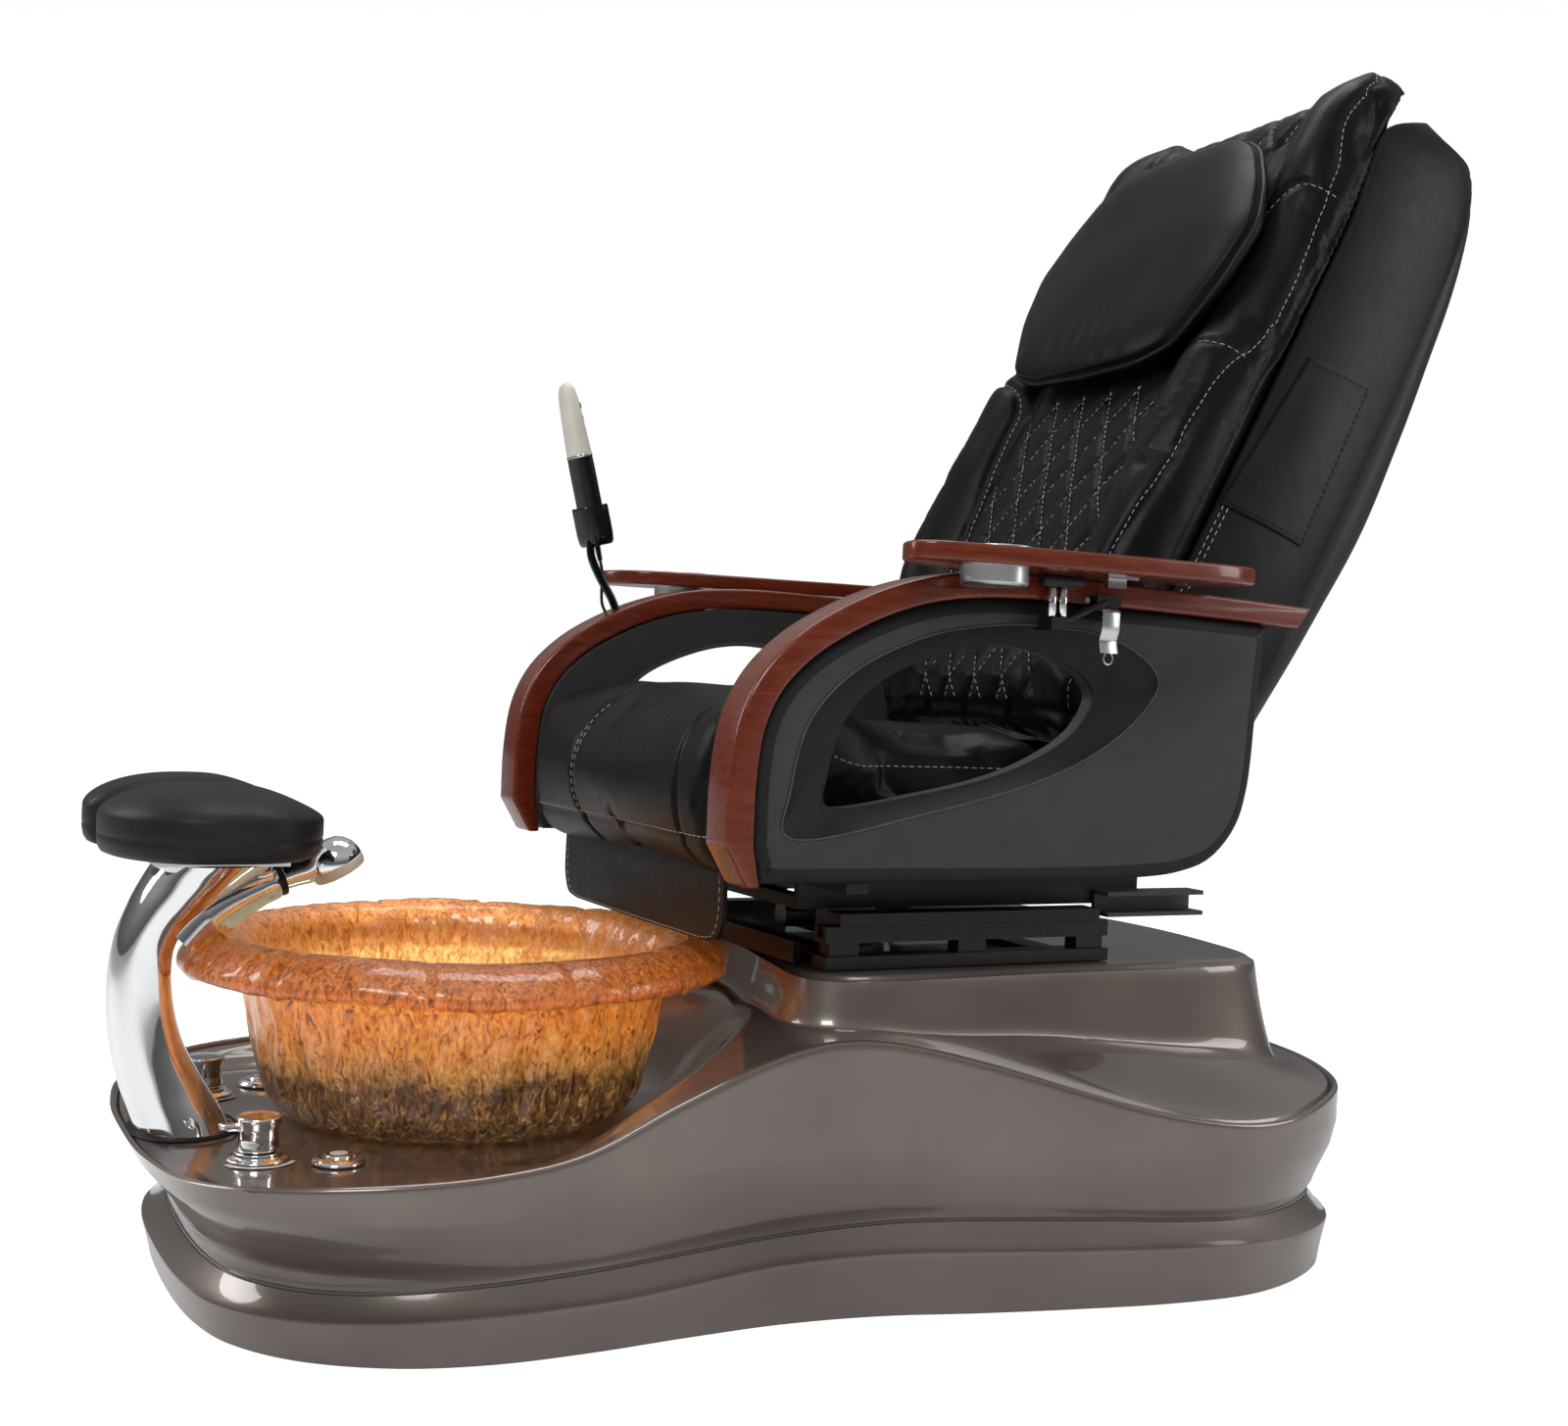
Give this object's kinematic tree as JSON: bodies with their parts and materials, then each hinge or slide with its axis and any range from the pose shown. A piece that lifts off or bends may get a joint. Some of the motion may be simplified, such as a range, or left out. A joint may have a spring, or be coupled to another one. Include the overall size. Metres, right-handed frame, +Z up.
{
  "type": "pedicure spa chair",
  "caption": "Pedicure spa chair: reclining massage seat with lifting arms and fold-down trays, on a glossy tub base with a glass foot bowl, chrome column footrest and pull-out spray.",
  "frame": {"origin": "on the floor under the middle of the tub base", "axes": "+X towards the rear of the chair, so the client faces -X; +Y towards the client's right; +Z up"},
  "size_m": [1.6522, 0.893, 1.4518],
  "materials": {
    "tub_gloss": "gloss",
    "amber_glass": "gloss",
    "chrome": "polished",
    "brushed_steel": "satin",
    "black_steel": "satin",
    "grey_steel": "satin",
    "charcoal_pad": "satin",
    "black_leather": "satin",
    "mahogany": "gloss",
    "grey_panel": "matte",
    "black_plastic": "satin",
    "ivory_plastic": "gloss",
    "pipe_grey": "satin",
    "aluminium": "satin",
    "cord_black": "satin"
  },
  "bodies": {
    "base": {"plinth": "tub_gloss", "tub_shell": "tub_gloss", "base_frame": "black_steel", "glass_bowl": "amber_glass", "drain_flange": "chrome", "drain_tailpipe": "pipe_grey", "jet_pump": "black_plastic", "jet_cap": "chrome", "column": "chrome", "spray_socket": "black_plastic", "footrest_bracket": "brushed_steel", "knob_base_left": "chrome", "knob_base_right": "chrome", "button_bezel_left": "chrome", "button_bezel_right": "chrome", "slide_base": "black_steel", "slide_rail_left": "black_steel", "slide_rail_right": "black_steel", "slide_motor": "aluminium"},
    "drain_stopper": {"drain_stopper": "chrome"},
    "jet_impeller": {"jet_impeller": "ivory_plastic"},
    "footrest": {"footrest_pad": "charcoal_pad"},
    "spray": {"spray_handle": "chrome", "spray_face": "ivory_plastic"},
    "knob_left": {"knob_left": "chrome"},
    "knob_right": {"knob_right": "chrome"},
    "button_left": {"button_left": "chrome"},
    "button_right": {"button_right": "chrome"},
    "seat": {"slider_left": "black_steel", "slider_right": "black_steel", "seat_frame": "black_steel", "rear_bracket": "grey_steel", "seat_cushion": "black_leather", "seat_apron": "black_leather", "recline_actuator": "aluminium"},
    "recline_rod": {"recline_rod": "chrome"},
    "back": {"back_frame": "black_steel", "back_shroud": "black_leather", "back_shell": "grey_panel", "back_cushion": "black_leather"},
    "massage_unit": {"massage_carriage": "aluminium"},
    "massage_rollers": {"massage_rollers": "ivory_plastic"},
    "pillow": {"head_pillow": "black_leather"},
    "arm_left": {"arm_wood_left": "mahogany", "arm_outer_panel_left": "grey_panel", "arm_inner_panel_left": "grey_panel", "tray_post_left": "black_steel"},
    "arm_right": {"arm_wood_right": "mahogany", "arm_outer_panel_right": "grey_panel", "arm_inner_panel_right": "grey_panel", "tray_post_right": "black_steel", "remote_holder": "black_plastic", "remote_cord": "cord_black"},
    "tray_left": {"tray_left": "mahogany", "tray_cup_left": "brushed_steel"},
    "tray_right": {"tray_right": "mahogany", "tray_cup_right": "brushed_steel"},
    "tray_catch_left": {"tray_catch_left": "chrome"},
    "tray_catch_right": {"tray_catch_right": "chrome"},
    "remote": {"remote": "ivory_plastic"}
  },
  "joints": [
    {"name": "drain_stopper_lift", "type": "slide", "parent": "base", "child": "drain_stopper", "axis": [0, 0, 1], "range_m": [0, 0.01]},
    {"name": "jet_spin", "type": "hinge", "parent": "base", "child": "jet_impeller", "pos_m": [-0.297, 0, 0.179], "axis": [0, 0, 1], "continuous": true},
    {"name": "footrest_slide", "type": "slide", "parent": "base", "child": "footrest", "axis": [-1, 0, 0], "range_m": [0, 0.05]},
    {"name": "spray_pull_out", "type": "slide", "parent": "base", "child": "spray", "axis": [0.9397, 0, 0.342], "range_m": [0, 0.15]},
    {"name": "knob_left_turn", "type": "hinge", "parent": "base", "child": "knob_left", "pos_m": [-0.597, -0.147, 0.18], "axis": [0, 0, 1], "range_deg": [0, 90]},
    {"name": "knob_right_turn", "type": "hinge", "parent": "base", "child": "knob_right", "pos_m": [-0.597, 0.147, 0.18], "axis": [0, 0, -1], "range_deg": [0, 90]},
    {"name": "button_left_press", "type": "slide", "parent": "base", "child": "button_left", "axis": [0, 0, -1], "range_m": [0, 0.003], "stiffness_N_per_m": 400, "springref_m": -0.001},
    {"name": "button_right_press", "type": "slide", "parent": "base", "child": "button_right", "axis": [0, 0, -1], "range_m": [0, 0.003], "stiffness_N_per_m": 400, "springref_m": -0.001},
    {"name": "seat_slide", "type": "slide", "parent": "base", "child": "seat", "axis": [1, 0, 0], "range_m": [-0.04, 0.06]},
    {"name": "back_recline", "type": "hinge", "parent": "seat", "child": "back", "pos_m": [0.36, 0, 0.5], "axis": [0, 1, 0], "range_deg": [-10, 20]},
    {"name": "recline_rod_slide", "type": "slide", "parent": "seat", "child": "recline_rod", "axis": [-1, 0, 0], "range_m": [-0.0118, 0.023]},
    {"name": "massage_travel", "type": "slide", "parent": "back", "child": "massage_unit", "axis": [0.4695, 0, 0.8829], "range_m": [-0.2, 0.4]},
    {"name": "roller_spin", "type": "hinge", "parent": "massage_unit", "child": "massage_rollers", "pos_m": [0.54397, 0, 0.84649], "axis": [0, 1, 0], "continuous": true},
    {"name": "pillow_flip", "type": "hinge", "parent": "back", "child": "pillow", "pos_m": [0.63092, 0, 1.35295], "axis": [0, 1, 0], "range_deg": [0, 85]},
    {"name": "arm_left_lift", "type": "hinge", "parent": "seat", "child": "arm_left", "pos_m": [0.4, -0.3, 0.482], "axis": [0, 1, 0], "range_deg": [0, 60]},
    {"name": "tray_left_fold", "type": "hinge", "parent": "arm_left", "child": "tray_left", "pos_m": [0.17, -0.362, 0.76], "axis": [1, 0, 0], "range_deg": [0, 80]},
    {"name": "tray_catch_left_turn", "type": "hinge", "parent": "arm_left", "child": "tray_catch_left", "pos_m": [0.236, -0.355, 0.728], "axis": [0, -1, 0], "range_deg": [0, 75]},
    {"name": "arm_right_lift", "type": "hinge", "parent": "seat", "child": "arm_right", "pos_m": [0.4, 0.3, 0.482], "axis": [0, 1, 0], "range_deg": [0, 60]},
    {"name": "tray_right_fold", "type": "hinge", "parent": "arm_right", "child": "tray_right", "pos_m": [0.17, 0.362, 0.76], "axis": [-1, 0, 0], "range_deg": [0, 80]},
    {"name": "tray_catch_right_turn", "type": "hinge", "parent": "arm_right", "child": "tray_catch_right", "pos_m": [0.236, 0.355, 0.728], "axis": [0, -1, 0], "range_deg": [0, 75]},
    {"name": "remote_lift", "type": "slide", "parent": "arm_right", "child": "remote", "axis": [-0.2504, 0, 0.9681], "range_m": [0, 0.06]}
  ],
  "couplings": [
    {"joint": "recline_rod_slide", "follows": "back_recline", "m_per_rad": 0.064}
  ]
}
